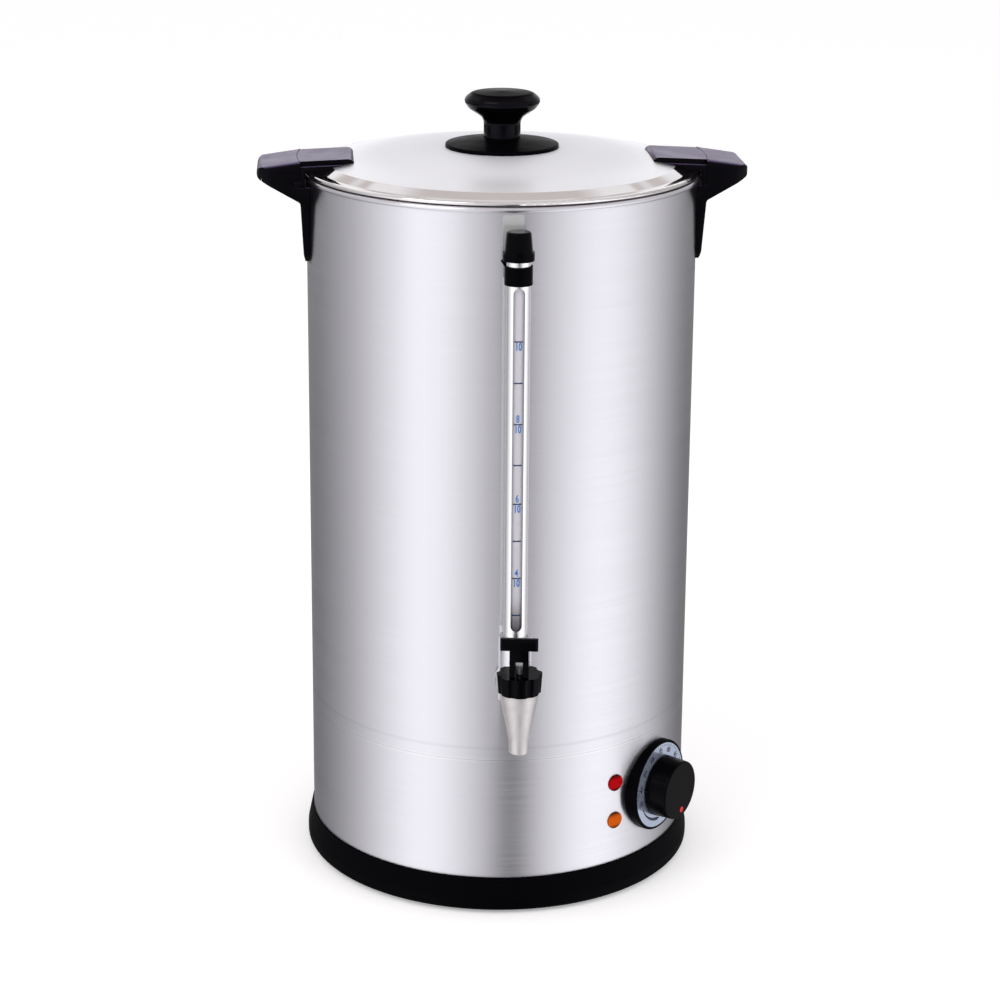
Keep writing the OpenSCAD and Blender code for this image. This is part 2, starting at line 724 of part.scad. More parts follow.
module dial_bezel() {
    color("#141414") difference() {
        outward(dial_az, dial_z) translate([0, 0, body_r - 12]) rotate_extrude() polygon(rounded([
            [thermo_neck_r + fit, 0, 0], [bezel_d / 2, 0, 0], [bezel_d / 2, 12 + bezel_out, 1.4],
            [plate_d / 2 + fit, 12 + bezel_out, 0.6], [plate_d / 2 + fit, 10.8 + bezel_out, 0],
            [thermo_neck_r + fit, 10.8 + bezel_out, 0]
        ]));
        on_axis() cylinder(r = body_r + fit, h = dial_z * 3, $fn = 360);
        outward(dial_az, dial_z) dial_screw_places() cylinder(d = 4.4, h = dial_face + eps);
    }
}

module dial_plate() {
    color("silver") outward(dial_az, dial_z) translate([0, 0, dial_face - 1.2 + run])
        ring(plate_d / 2, thermo_neck_r + 12.6, dial_plate_t);
}

module dial_screws() {
    color("silver") outward(dial_az, dial_z) dial_screw_places() translate([0, 0, dial_face - 1.2])
        rotate([180, 0, 0]) pan_screw(4, bezel_out + 6.5, 7, 1.4);
}

module dial_knob() {
    z0 = dial_face + knob_gap;
    face_r = dial_knob_d / 2 - 1;
    color("#0e0e0e") outward(dial_az, dial_z) translate([0, 0, z0]) difference() {
        rotate_extrude() polygon(rounded([
            [0, 0, 0], [dial_knob_d / 2, 0, 0.6], [face_r, dial_knob_h, 1.6], [0, dial_knob_h, 0]
        ]));
        translate([0, 0, -eps]) cylinder(r = shaft_r + run, h = dial_knob_h - 4 + eps);
        difference() {
            translate([0, 0, -eps]) cylinder(r = dial_knob_d / 2 - 4, h = dial_knob_h - 5 + eps);
            translate([0, 0, -eps]) cylinder(r = shaft_r + 3, h = dial_knob_h);
        }
        rotate([0, 0, pointer_turn]) translate([pointer_r, 0, dial_knob_h - 0.8])
            cylinder(d = pointer_d + 2 * run, h = eps + 1);
    }
}

module dial_pointer() {
    color("red") outward(dial_az, dial_z) translate([0, 0, dial_face + knob_gap + dial_knob_h - 0.8 + run])
        rotate([0, 0, pointer_turn]) translate([pointer_r, 0, 0]) cylinder(d = pointer_d, h = 1);
}

module thermostat_body() {
    box = thermo_box;
    front = thermo_front;
    color("tan") outward(dial_az, dial_z) difference() {
        union() {
            translate([-box.x / 2, -box.y / 2, thermo_back]) cube(box);
            translate([-box.x / 2 - 4, -6, front - 5]) cube([box.x + 8, 12, 2]);
            translate([0, 0, front - 4]) cylinder(r = thermo_neck_r, h = dial_face - 2 - front + 4);
        }
        translate([0, 0, front - 22]) cylinder(r = shaft_bore, h = 60);
        dial_screw_places() translate([0, 0, front - 14]) cylinder(d = 4 + 2 * run, h = 40);
    }
}

module thermostat_shaft() {
    z0 = thermo_front - 20;
    color("lightgray") outward(dial_az, dial_z) translate([0, 0, z0])
        cylinder(r = shaft_r, h = dial_face + knob_gap + dial_knob_h - 4.4 - z0);
}

// Sensing bulb clipped under the tank floor, at the end of its capillary
module thermostat_bulb() {
    bulb_r = 3;
    bulb_len = 60;
    tube_r = 1;
    place = (heater_d / 2 + thermo_back) / 2;
    top = floor_z - sheet - 0.3;
    start = dial_z + thermo_box.y / 2 + 0.2;
    reach = thermo_back - 2 - place;
    color("peru") on_axis() rotate([0, 0, dial_az]) union() {
        translate([-bulb_len / 2, -place, top - bulb_r]) rotate([0, 90, 0])
            cylinder(r = bulb_r, h = bulb_len);
        translate([0, -place, start]) cylinder(r = tube_r, h = top - bulb_r - start);
        translate([0, -place - reach, start + tube_r]) rotate([-90, 0, 0])
            cylinder(r = tube_r, h = reach + 0.5);
    }
}

module lamp_lens(z) {
    lens = rounded([
        [0, 0, 0], [lamp_stem_r - 0.6, 0, 0.4], [lamp_stem_r - 0.6, lens_depth + 0.2, 0],
        [lamp_d / 2, lens_depth + 0.2, 0], [lamp_d / 2, lens_depth + 1, 0.5], [0, lens_depth + 1.5, 0]
    ]);
    outward(lamp_az, z) translate([0, 0, body_r - lens_depth]) rotate_extrude() polygon(lens);
}

module lamp_heating() { color("red") lamp_lens(lamp_zs[0]); }

module lamp_keep_warm() { color("orange") lamp_lens(lamp_zs[1]); }

// Holders behind the wall: a tube round each lens stem with its spring nut
module lamp_holders() {
    holder_len = 32;
    nut_t = 2.6;
    color("ivory") for (z = lamp_zs) outward(lamp_az, z) translate([0, 0, body_r - holder_len]) {
        difference() {
            cylinder(r = lamp_stem_r, h = holder_len - 0.2);
            translate([0, 0, holder_len - lens_depth - 0.2 - fit])
                cylinder(r = lamp_stem_r - 0.6 + run, h = holder_len);
        }
        translate([0, 0, holder_len - sheet - nut_t - 0.9]) ring(lamp_stem_r + 3.4, lamp_stem_r + run, nut_t);
    }
}

module heater_plate() {
    color("gainsboro") on_axis() translate([0, 0, heater_z]) difference() {
        cylinder(d = heater_d, h = heater_t);
        for (r = [keep_ring, heat_ring]) translate([0, 0, -eps]) rotate_extrude()
            translate([r, eps + 0.5]) circle(tube_d / 2 + 0.5);
    }
}

// A ring of heating tube in the plate's groove, with two cold ends turned down
module tube_ring(r) {
    gap = asin(14 / r);
    turn = 360 - 2 * gap;
    end_h = 26;
    on_axis() translate([0, 0, heater_z + 0.5]) rotate([0, 0, gap - 90]) {
        rotate_extrude(angle = turn) translate([r, 0]) circle(d = tube_d);
        for (a = [0, turn]) rotate([0, 0, a]) translate([r, 0, -end_h]) cylinder(d = tube_d, h = end_h);
        for (a = [0, turn]) rotate([0, 0, a]) translate([r, 0, 0]) sphere(d = tube_d + 0.5);
        for (a = [0, turn]) rotate([0, 0, a]) translate([r, 0, -end_h - 8])
            cylinder(d = 2.4, h = 10, $fn = 24);
    }
}

module heating_element() { color("darkgray") tube_ring(heat_ring); }

module keep_warm_element() { color("darkgray") tube_ring(keep_ring); }

// Boil-dry cut-out on the base plate, whose reset button faces down
module dry_cutout() {
    base = plate_z + plate_t + run;
    color("saddlebrown") on_axis() translate([reset_xy.x, reset_xy.y, base]) difference() {
        union() {
            cylinder(d = 26, h = 18);
            translate([-20, -6, 0]) cube([40, 12, 3]);
            for (s = [-1, 1]) translate([s * 7 - 0.4, -3, 17]) cube([0.8, 6, 11]);
        }
        translate([0, 0, -eps]) cylinder(d = 7 + 2 * run, h = 12 + eps);
    }
}

module reset_button() {
    low = plate_z - 1.2;
    color("red") on_axis() translate([reset_xy.x, reset_xy.y, low]) union() {
        cylinder(d = 7, h = plate_z + plate_t + 12 - reset_travel - 0.4 - low);
    }
}

module terminal_block() {
    ways = 4;
    pitch = 10;
    base = plate_z + plate_t + run;
    color("ivory") on_axis() translate([-60, 20, base]) difference() {
        union() {
            cube([ways * pitch + 2, 22, 8]);
            for (i = [0:ways]) translate([i * pitch, 0, 0]) cube([2, 22, 15]);
        }
        for (i = [0:ways - 1], y = [6, 16]) translate([(i + 0.6) * pitch, y, 3])
            cylinder(d = 4, h = 10, $fn = 32);
    }
}

// Bush in the back wall that a mains lead would pass through
module cord_gland() {
    color("#181818") outward(180, gland_z) translate([0, 0, bore_r - 10]) difference() {
        union() {
            cylinder(r = gland_bore + 3, h = 10 + sheet + gland_out);
            translate([0, 0, 10 + sheet + 0.3])
                cylinder(r1 = gland_bore + 6, r2 = gland_bore + 4.5, h = gland_out - 0.3);
            translate([0, 0, 4]) cylinder(r = gland_bore + 6, h = 5.4, $fn = 6);
        }
        translate([0, 0, -eps]) cylinder(r = gland_bore, h = 40);
    }
}

module lid_cover() {
    inner = beside(lid_outer, sheet);
    under = [for (i = [len(inner) - 1:-1:0]) inner[i]];
    color("whitesmoke") on_axis() difference() {
        rotate_extrude() union() {
            polygon(concat(lid_outer, under));
            translate(rim_c) circle(rim_r, $fn = 48);
            translate([plug_r - sheet, body_top - plug_h]) square([sheet, ledge_z - body_top + plug_h - 0.3]);
        }
        translate([0, 0, lid_top - 8]) cylinder(d = 5.4, h = 20);
        lug_screw_places() translate([0, 0, -5]) cylinder(d = 3.6, h = 10);
    }
}

module lug_screw_places() {
    for (side = [0, 180], s = [-1, 1]) rotate([0, 0, side + s * screw_az])
        translate([lug_screw_r, 0, dome_z(lug_screw_r)]) children();
}

// Everything under the lid's outer face, which the lugs and the skirt are cut to
module lid_envelope(gap) {
    path = beside(lid_outer, -gap);
    rotate_extrude() polygon(concat(
        [[0, 0], [skirt_in, 0], [skirt_in, ledge_z + 0.6]],
        [for (q = path) if (q.x < skirt_in - 0.01) q]
    ));
}

module lid_knob() {
    r = knob_d / 2;
    n = neck_d / 2;
    out = rounded([
        [0, 0, 0], [n, 0, 0], [n, knob_h - 20.8, 8], [r - 4.6, knob_h - 13.4, 8],
        [r + 0.3, knob_h - 6.4, 4],
        [r - 6.5, knob_h - 1.2, 8], [0, knob_h, 0]
    ]);
    color("#0c0c0c") on_axis() translate([0, 0, lid_top + fit]) difference() {
        rotate_extrude() polygon(out);
        translate([0, 0, -eps]) cylinder(d = 4.2, h = 18 + eps);
    }
}

module knob_skirt() {
    edge = dome_z(skirt_d / 2) + fit;
    color("#161616") on_axis() difference() {
        rotate_extrude() polygon(rounded([
            [neck_d / 2 + fit, edge - 2, 0], [skirt_d / 2, edge - 2, 0], [skirt_d / 2, edge + 2.6, 1.2],
            [skirt_d / 2 - 9, edge + 4.2, 10], [neck_d / 2 + fit, lid_top + 6.4, 0]
        ]));
        lid_envelope(fit);
    }
}

module knob_screw() {
    color("silver") on_axis() translate([0, 0, lid_top - sheet - 0.3]) {
        translate([0, 0, -1.5]) ring(9, 2.3, 1.5);
        translate([0, 0, -1.6]) pan_screw(4, 15, 9, 3);
    }
}

// Lug on the +X side: it grips the lid's edge and hooks a tongue under the handle
module lug() {
    top = handle_top;
    profile = rounded([
        [lug_in, skirt_bottom, 0], [lug_in, top + lug_rise, 5], [part_r, top, 0], [part_r, skirt_bottom, 0]
    ]);
    plan = rounded([
        [lug_in, -handle_w / 2, 8], [part_r + eps, -handle_w / 2, 0], [part_r + eps, handle_w / 2, 0],
        [lug_in, handle_w / 2, 8]
    ]);
    difference() {
        intersection() {
            rotate([90, 0, 0]) translate([0, 0, -handle_w / 2]) linear_extrude(handle_w) polygon(profile);
            translate([0, 0, skirt_bottom - eps]) linear_extrude(40) polygon(plan);
            cylinder(r = part_r, h = body_top * 2);
        }
        lid_envelope(fit);
        edge_cutter(part_r, top, lug_in, top + lug_rise);
        lug_screw_places() translate([0, 0, -5]) cylinder(d = 3, h = 7.4);
    }
    intersection() {
        translate([0, 0, skirt_bottom]) ring(tongue_r, part_r - 1, tongue_t);
        translate([body_r, slot_stop + free - handle_w / 2, skirt_bottom - eps])
            cube([40, handle_w - slot_stop - free, tongue_t + 2 * eps]);
    }
}

module lid_lug_left() { color("#1a1a1a") on_axis() rotate([0, 0, 180]) lug(); }

module lid_lug_right() { color("#1a1a1a") on_axis() lug(); }

module lug_screws() {
    color("silver") on_axis() lug_screw_places() translate([0, 0, -sheet - 0.6])
        pan_screw(2.9, sheet + 2.8, 6, 2);
}

tank_wall();
base_skirt();
tank_floor();
base_ring();
base_plate();
feet();
base_screws();
handle_left();
handle_right();
handle_screws();
gauge_strip();
gauge_shield();
gauge_glass();
gauge_collar();
gauge_cap();
gauge_seal();
tap_tee();
tap_body();
tap_bonnet();
tap_washers();
tap_nut();
tap_stem();
seat_cup();
tap_spring();
lever_pin();
tap_lever();
dial_bezel();
dial_plate();
dial_screws();
dial_knob();
dial_pointer();
thermostat_body();
thermostat_shaft();
thermostat_bulb();
lamp_heating();
lamp_keep_warm();
lamp_holders();
heater_plate();
heating_element();
keep_warm_element();
dry_cutout();
reset_button();
terminal_block();
cord_gland();
lid_cover();
lid_knob();
knob_skirt();
knob_screw();
lid_lug_left();
lid_lug_right();
lug_screws();
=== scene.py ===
"""Hot water urn: finishes, printed scales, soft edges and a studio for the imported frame."""

import json
import math

import bpy
from mathutils import Matrix, Vector

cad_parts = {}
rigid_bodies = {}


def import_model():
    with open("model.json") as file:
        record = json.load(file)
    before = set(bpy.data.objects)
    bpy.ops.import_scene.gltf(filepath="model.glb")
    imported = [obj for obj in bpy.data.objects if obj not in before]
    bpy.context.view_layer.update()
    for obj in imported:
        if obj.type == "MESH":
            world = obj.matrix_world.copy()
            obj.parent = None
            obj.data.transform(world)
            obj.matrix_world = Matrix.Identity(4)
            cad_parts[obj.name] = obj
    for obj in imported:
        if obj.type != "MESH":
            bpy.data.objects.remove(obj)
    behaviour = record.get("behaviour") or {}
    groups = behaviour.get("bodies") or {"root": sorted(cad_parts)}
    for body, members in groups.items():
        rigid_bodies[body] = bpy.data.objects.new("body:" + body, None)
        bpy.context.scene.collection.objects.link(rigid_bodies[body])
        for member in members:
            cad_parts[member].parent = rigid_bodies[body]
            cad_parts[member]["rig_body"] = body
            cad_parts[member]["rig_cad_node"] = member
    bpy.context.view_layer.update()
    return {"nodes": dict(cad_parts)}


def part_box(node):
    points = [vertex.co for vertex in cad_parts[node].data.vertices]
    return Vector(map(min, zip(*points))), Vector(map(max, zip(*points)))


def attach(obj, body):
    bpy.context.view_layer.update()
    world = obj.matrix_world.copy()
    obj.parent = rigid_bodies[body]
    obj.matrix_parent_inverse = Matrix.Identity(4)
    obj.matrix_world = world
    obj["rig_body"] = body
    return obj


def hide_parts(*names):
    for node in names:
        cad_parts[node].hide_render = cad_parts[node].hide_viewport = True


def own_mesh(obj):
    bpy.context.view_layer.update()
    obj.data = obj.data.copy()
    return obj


bl_info = {
    "name": "Hot water urn",
    "version": (1, 0, 0),
    "blender": (4, 5, 0),
    "location": "3D View > Sidebar > Urn",
    "description": "Dresses the urn's frame with finishes, printed scales and a studio",
    "category": "Object",
}

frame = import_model()
nodes = frame["nodes"]

skirt_low, skirt_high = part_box("base_skirt")
AXIS = Vector((0.0, (skirt_low.y + skirt_high.y) / 2, 0.0))
BODY_R = (skirt_high.x - skirt_low.x) / 2
SEAM_Z = skirt_high.z


# How thick the ink of a print stands, and how far it lies off the glass and the dial plate.
INK = 0.00006
GLASS_GAP = 0.00008
PLATE_GAP = 0.00004

# The sight glass's long marks, with the numbers above and below each, and its short marks, by height.
LONG_MARKS = ((0.457, "", "10"), (0.3957, "8", "10"), (0.3356, "6", "10"), (0.2786, "4", "10"))
SHORT_MARKS = (0.4264, 0.365, 0.3073, 0.25)
MARK_HEIGHT = 0.0009

# The dial's scale, in degrees of turn: where it starts, and how far one number is from the next.
DIAL_START = -165
DIAL_STEP = 26
DIAL_NUMBERS = range(30, 120, 10)
TICKS_PER_STEP = 5

# The dial's swelling band below the numbers, laid in short pieces.
BAND_START = -92
BAND_STEP = 2.2
BAND_PIECES = 28

# Moulded pieces whose edges are rounded: node, body, slot and share of the edge radius.
SOFT_PIECES = (
    ("handle_left", "urn", "black_satin", 1.0),
    ("handle_right", "urn", "black_satin", 1.0),
    ("lid_lug_left", "lid", "black_satin", 1.0),
    ("lid_lug_right", "lid", "black_satin", 1.0),
    ("tap_lever", "lever", "black_gloss", 0.6),
)

# The room: dim at the back, a soft panel and a faint one on each side, a dark gap by the camera.
# A panel is its angle from the front and its half width, in degrees, and its strength.
ROOM_BACK = 0.14
ROOM_TINT = (0.985, 0.98, 1.0)
ROOM_PANELS = ((-116, 26, 0.09), (-54, 45, 1.17), (5, 12, -0.4), (61, 42, 1.26), (107, 24, 0.11))

# The ceiling's colour beside its bright panels.
CEILING = (0.66, 0.62, 0.61)

# Area lights: place, size and share of the key light's power.
LIGHTS = {"key": ((-1.6, -1.5, 2.1), 1.6, 1.0), "fill": ((1.9, -1.2, 1.6), 1.8, 0.7)}

# The camera's place from the tank's axis, its turn, pitch and roll in degrees, and its shift.
CAMERA_PLACE = (-0.1428, -1.8986, 0.899)
CAMERA_TURN = 4.3
CAMERA_PITCH = 15.64
CAMERA_ROLL = 0.44
CAMERA_SHIFT = -0.1


class UrnFinishes(bpy.types.PropertyGroup):
    """Colours and roughness of the urn's finishes."""

    steel: bpy.props.FloatVectorProperty(
        name="Steel", description="Colour of the brushed body", subtype="COLOR", size=3,
        default=(0.745, 0.735, 0.775))
    body_rough: bpy.props.FloatProperty(
        name="Body roughness", description="Mean roughness of the brushed body", subtype="FACTOR",
        default=0.3, min=0.05, max=0.6)
    lid_rough: bpy.props.FloatProperty(
        name="Lid roughness", description="Roughness of the satin dome", subtype="FACTOR",
        default=0.34, min=0.02, max=0.6)
    black: bpy.props.FloatVectorProperty(
        name="Black plastic", description="Colour of the moulded parts", subtype="COLOR", size=3,
        default=(0.0013, 0.0011, 0.0017))
    print_blue: bpy.props.FloatVectorProperty(
        name="Gauge print", description="Colour of the gauge's marks", subtype="COLOR", size=3,
        default=(0.004, 0.16, 0.52))
    lamp_red: bpy.props.FloatVectorProperty(
        name="Heating lamp", description="Colour of the upper lens", subtype="COLOR", size=3,
        default=(0.3, 0.0, 0.002))
    lamp_amber: bpy.props.FloatVectorProperty(
        name="Keep-warm lamp", description="Colour of the lower lens", subtype="COLOR", size=3,
        default=(0.45, 0.072, 0.002))


class UrnPrints(bpy.types.PropertyGroup):
    """Sizes of the printed scales and the softened edges."""

    edge: bpy.props.FloatProperty(
        name="Edge radius", description="Rounding of the handles' moulded edges", unit="LENGTH",
        default=0.0009, min=0.0002, max=0.002)
    digit: bpy.props.FloatProperty(
        name="Gauge digits", description="Height of the digits on the sight glass", unit="LENGTH",
        default=0.0056, min=0.003, max=0.007)
    tick: bpy.props.FloatProperty(
        name="Gauge tick", description="Length of a tick on the sight glass", unit="LENGTH",
        default=0.0062, min=0.003, max=0.007)
    dial_digit: bpy.props.FloatProperty(
        name="Dial digits", description="Height of the numbers on the dial plate", unit="LENGTH",
        default=0.0042, min=0.003, max=0.006)


class UrnStudio(bpy.types.PropertyGroup):
    """Camera and light of the studio."""

    lens: bpy.props.FloatProperty(
        name="Lens", description="Focal length in millimetres", default=90.4, min=35, max=200)
    key: bpy.props.FloatProperty(
        name="Key light", description="Power of the key light", subtype="POWER", default=16, min=0)
    world: bpy.props.FloatProperty(
        name="Room", description="Brightness of the white room", default=1.0, min=0, max=3)


def deselect():
    """Leaves nothing selected, so that an operator acts only on what is made next."""
    if bpy.context.object and bpy.context.object.mode != "OBJECT":
        bpy.ops.object.mode_set(mode="OBJECT")
    bpy.ops.object.select_all(action="DESELECT")


def pick(obj):
    """Selects one object and makes it active."""
    deselect()
    obj.select_set(True)
    bpy.context.view_layer.objects.active = obj


def outward(azimuth, reach, height):
    """Matrix whose +Z points out of the tank at an angle from the front, with +Y up."""
    c, s = math.cos(azimuth), math.sin(azimuth)
    place = AXIS + Vector((s, -c, 0)) * reach + Vector((0, 0, height))
    return Matrix(((c, 0, s, place.x), (s, 0, -c, place.y), (0, 1, 0, place.z), (0, 0, 0, 1)))


def settle(obj, name, body, material):
    """Names a finished piece, applies its place to its mesh and fixes it to its body."""
    pick(obj)
    bpy.ops.object.transform_apply(location=True, rotation=True, scale=True)
    obj.name = name
    obj.data.name = name
    obj.data.materials.clear()
    obj.data.materials.append(material)
    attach(obj, body)
    return obj


def copy_of(node):
    """A free copy of a CAD node's mesh, with plain normals and no doubled points."""
    pick(nodes[node])
    bpy.ops.object.duplicate()
    piece = bpy.context.view_layer.objects.active
    bpy.ops.object.parent_clear(type="CLEAR_KEEP_TRANSFORM")
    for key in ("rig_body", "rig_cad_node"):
        if key in piece:
            del piece[key]
    if piece.data.has_custom_normals:
        bpy.ops.mesh.customdata_custom_splitnormals_clear()
    bpy.ops.object.mode_set(mode="EDIT")
    bpy.ops.mesh.select_all(action="SELECT")
    bpy.ops.mesh.remove_doubles(threshold=0.000004)
    bpy.ops.object.mode_set(mode="OBJECT")
    return piece


def join(objs):
    """Joins several meshes into the first."""
    deselect()
    for o in objs:
        o.select_set(True)
    bpy.context.view_layer.objects.active = objs[0]
    bpy.ops.object.join()
    return bpy.context.view_layer.objects.active


def paint(material, *names):
    """Gives CAD nodes a finish."""
    for name in names:
        mesh = nodes[name].data
        mesh.materials.clear()
        mesh.materials.append(material)


class Finish:
    """One material's node tree, built a node at a time."""

    def __init__(self, name, colour, metallic=0.0, roughness=0.4):
        self.material = bpy.data.materials.new(name)
        self.material.use_nodes = True
        self.tree = self.material.node_tree
        self.shader = self.tree.nodes["Principled BSDF"]
        self.set("Base Color", (*colour, 1.0))
        self.set("Metallic", metallic)
        self.set("Roughness", roughness)

    def set(self, socket, value):
        """Sets one of the shader's inputs to a constant."""
        self.shader.inputs[socket].default_value = value
        return self

    def node(self, kind, **values):
        """Adds a node and sets its own options."""
        made = self.tree.nodes.new(kind)
        for key, value in values.items():
            setattr(made, key, value)
        return made

    def link(self, source, target):
        self.tree.links.new(source, target)

    def math(self, operation, a, b=0.0):
        """One sum on numbers or sockets."""
        made = self.node("ShaderNodeMath", operation=operation)
        for socket, value in zip(made.inputs, (a, b)):
            if isinstance(value, (int, float)):
                socket.default_value = value
            else:
                self.link(value, socket)
        return made.outputs[0]

    def coords(self, scale=(1, 1, 1), location=(0, 0, 0)):
        """Object coordinates through a Mapping node."""
        place = self.node("ShaderNodeMapping")
        place.inputs["Scale"].default_value = scale
        place.inputs["Location"].default_value = location
        self.link(self.node("ShaderNodeTexCoord").outputs["Object"], place.inputs["Vector"])
        return place.outputs["Vector"]

    def noise(self, scale, low, high, detail=2.0):
        """A noise field mapped between two values."""
        field = self.node("ShaderNodeTexNoise")
        field.inputs["Scale"].default_value = 1.0
        field.inputs["Detail"].default_value = detail
        self.link(self.coords(scale), field.inputs["Vector"])
        return self.span(field.outputs["Fac"], 0.3, 0.7, low, high)

    def span(self, value, from_low, from_high, to_low, to_high):
        """Carries a value smoothly from one range to another."""
        made = self.node("ShaderNodeMapRange", interpolation_type="SMOOTHSTEP")
        made.inputs["From Min"].default_value = from_low
        made.inputs["From Max"].default_value = from_high
        made.inputs["To Min"].default_value = to_low
        made.inputs["To Max"].default_value = to_high
        self.link(value, made.inputs["Value"])
        return made.outputs["Result"]

    def blend(self, factor, a, b):
        """Mixes two colours, or a colour with a socket, by a factor."""
        made = self.node("ShaderNodeMix", data_type="RGBA")
        self.link(factor, made.inputs["Factor"])
        for socket, value in zip((made.inputs[6], made.inputs[7]), (a, b)):
            if isinstance(value, tuple):
                socket.default_value = (*value, 1.0)
            else:
                self.link(value, socket)
        return made.outputs[2]

    def bump(self, height, strength, distance):
        """Raises the surface by a height field."""
        made = self.node("ShaderNodeBump")
        made.inputs["Strength"].default_value = strength
        made.inputs["Distance"].default_value = distance
        self.link(height, made.inputs["Height"])
        self.link(made.outputs["Normal"], self.shader.inputs["Normal"])
        return self

    def turned(self, amount):
        """Grain that runs round the axis: highlights stretch across it."""
        tangent = self.node("ShaderNodeTangent", direction_type="RADIAL", axis="Z")
        self.link(tangent.outputs["Tangent"], self.shader.inputs["Tangent"])
        self.set("Anisotropic", amount)
        self.set("Anisotropic Rotation", 0.25)
        return self

    def axis_radius(self):
        """Distance from the tank's axis."""
        split = self.node("ShaderNodeSeparateXYZ")
        self.link(self.coords(location=(-AXIS.x, -AXIS.y, 0)), split.inputs[0])
        return self.math("SQRT", self.math("ADD", self.math("MULTIPLY", split.outputs[0], split.outputs[0]),
                                           self.math("MULTIPLY", split.outputs[1], split.outputs[1])))

    def height(self):
        """Height above the floor."""
        split = self.node("ShaderNodeSeparateXYZ")
        self.link(self.coords(), split.inputs[0])
        return split.outputs[2]


def brushed(name, colour, roughness, grain=(4, 4, 900)):
    """Brushed steel whose grain runs round the tank."""
    f = Finish(name, colour, 1.0, roughness)
    streak = f.noise(grain, 0.0, 1.0, 3.0)
    f.link(f.span(streak, 0, 1, roughness * 0.93, roughness * 1.07), f.shader.inputs["Roughness"])
    dark = tuple(c * 0.985 for c in colour)
    tint = f.blend(streak, dark, colour)
    f.link(tint, f.shader.inputs["Base Color"])
    return f, tint


def moulded(name, colour, roughness, pebble=0.0):
    """Moulded plastic with a little unevenness in its shine."""
    f = Finish(name, colour, 0.0, roughness)
    f.set("Specular IOR Level", 0.3)
    f.link(f.noise((60, 60, 60), roughness * 0.88, roughness * 1.12), f.shader.inputs["Roughness"])
    if pebble:
        f.bump(f.noise((1500, 1500, 1500), 0.0, 1.0, 1.0), pebble, 0.0002)
    return f


def top_shine(finish, side, top, sheen_colour=None):
    """Gives the faces that look up a shine of their own and, when a colour is given, paints them that paler
    colour as a sheen.
    """
    facing = finish.node("ShaderNodeSeparateXYZ")
    finish.link(finish.node("ShaderNodeNewGeometry").outputs["Normal"], facing.inputs[0])
    up = facing.outputs[2]
    finish.link(finish.span(up, 0.6, 0.95, side, top), finish.shader.inputs["Specular IOR Level"])
    finish.set("Specular Tint", (0.88, 0.8, 1.0, 1.0))
    if sheen_colour:
        # Painted sheen: the faces that look up are blended towards the paler sheen colour.
        black = tuple(finish.shader.inputs["Base Color"].default_value)[:3]
        painted_top_sheen = finish.span(up, 0.6, 0.95, 0.0, 1.0)
        finish.link(finish.blend(painted_top_sheen, black, sheen_colour), finish.shader.inputs["Base Color"])
    return finish.material


def plain(name, colour, metallic, roughness):
    """A simple finish with a slight cloudiness."""
    f = Finish(name, colour, metallic, roughness)
    f.link(f.noise((90, 90, 90), roughness * 0.85, roughness * 1.15), f.shader.inputs["Roughness"])
    return f


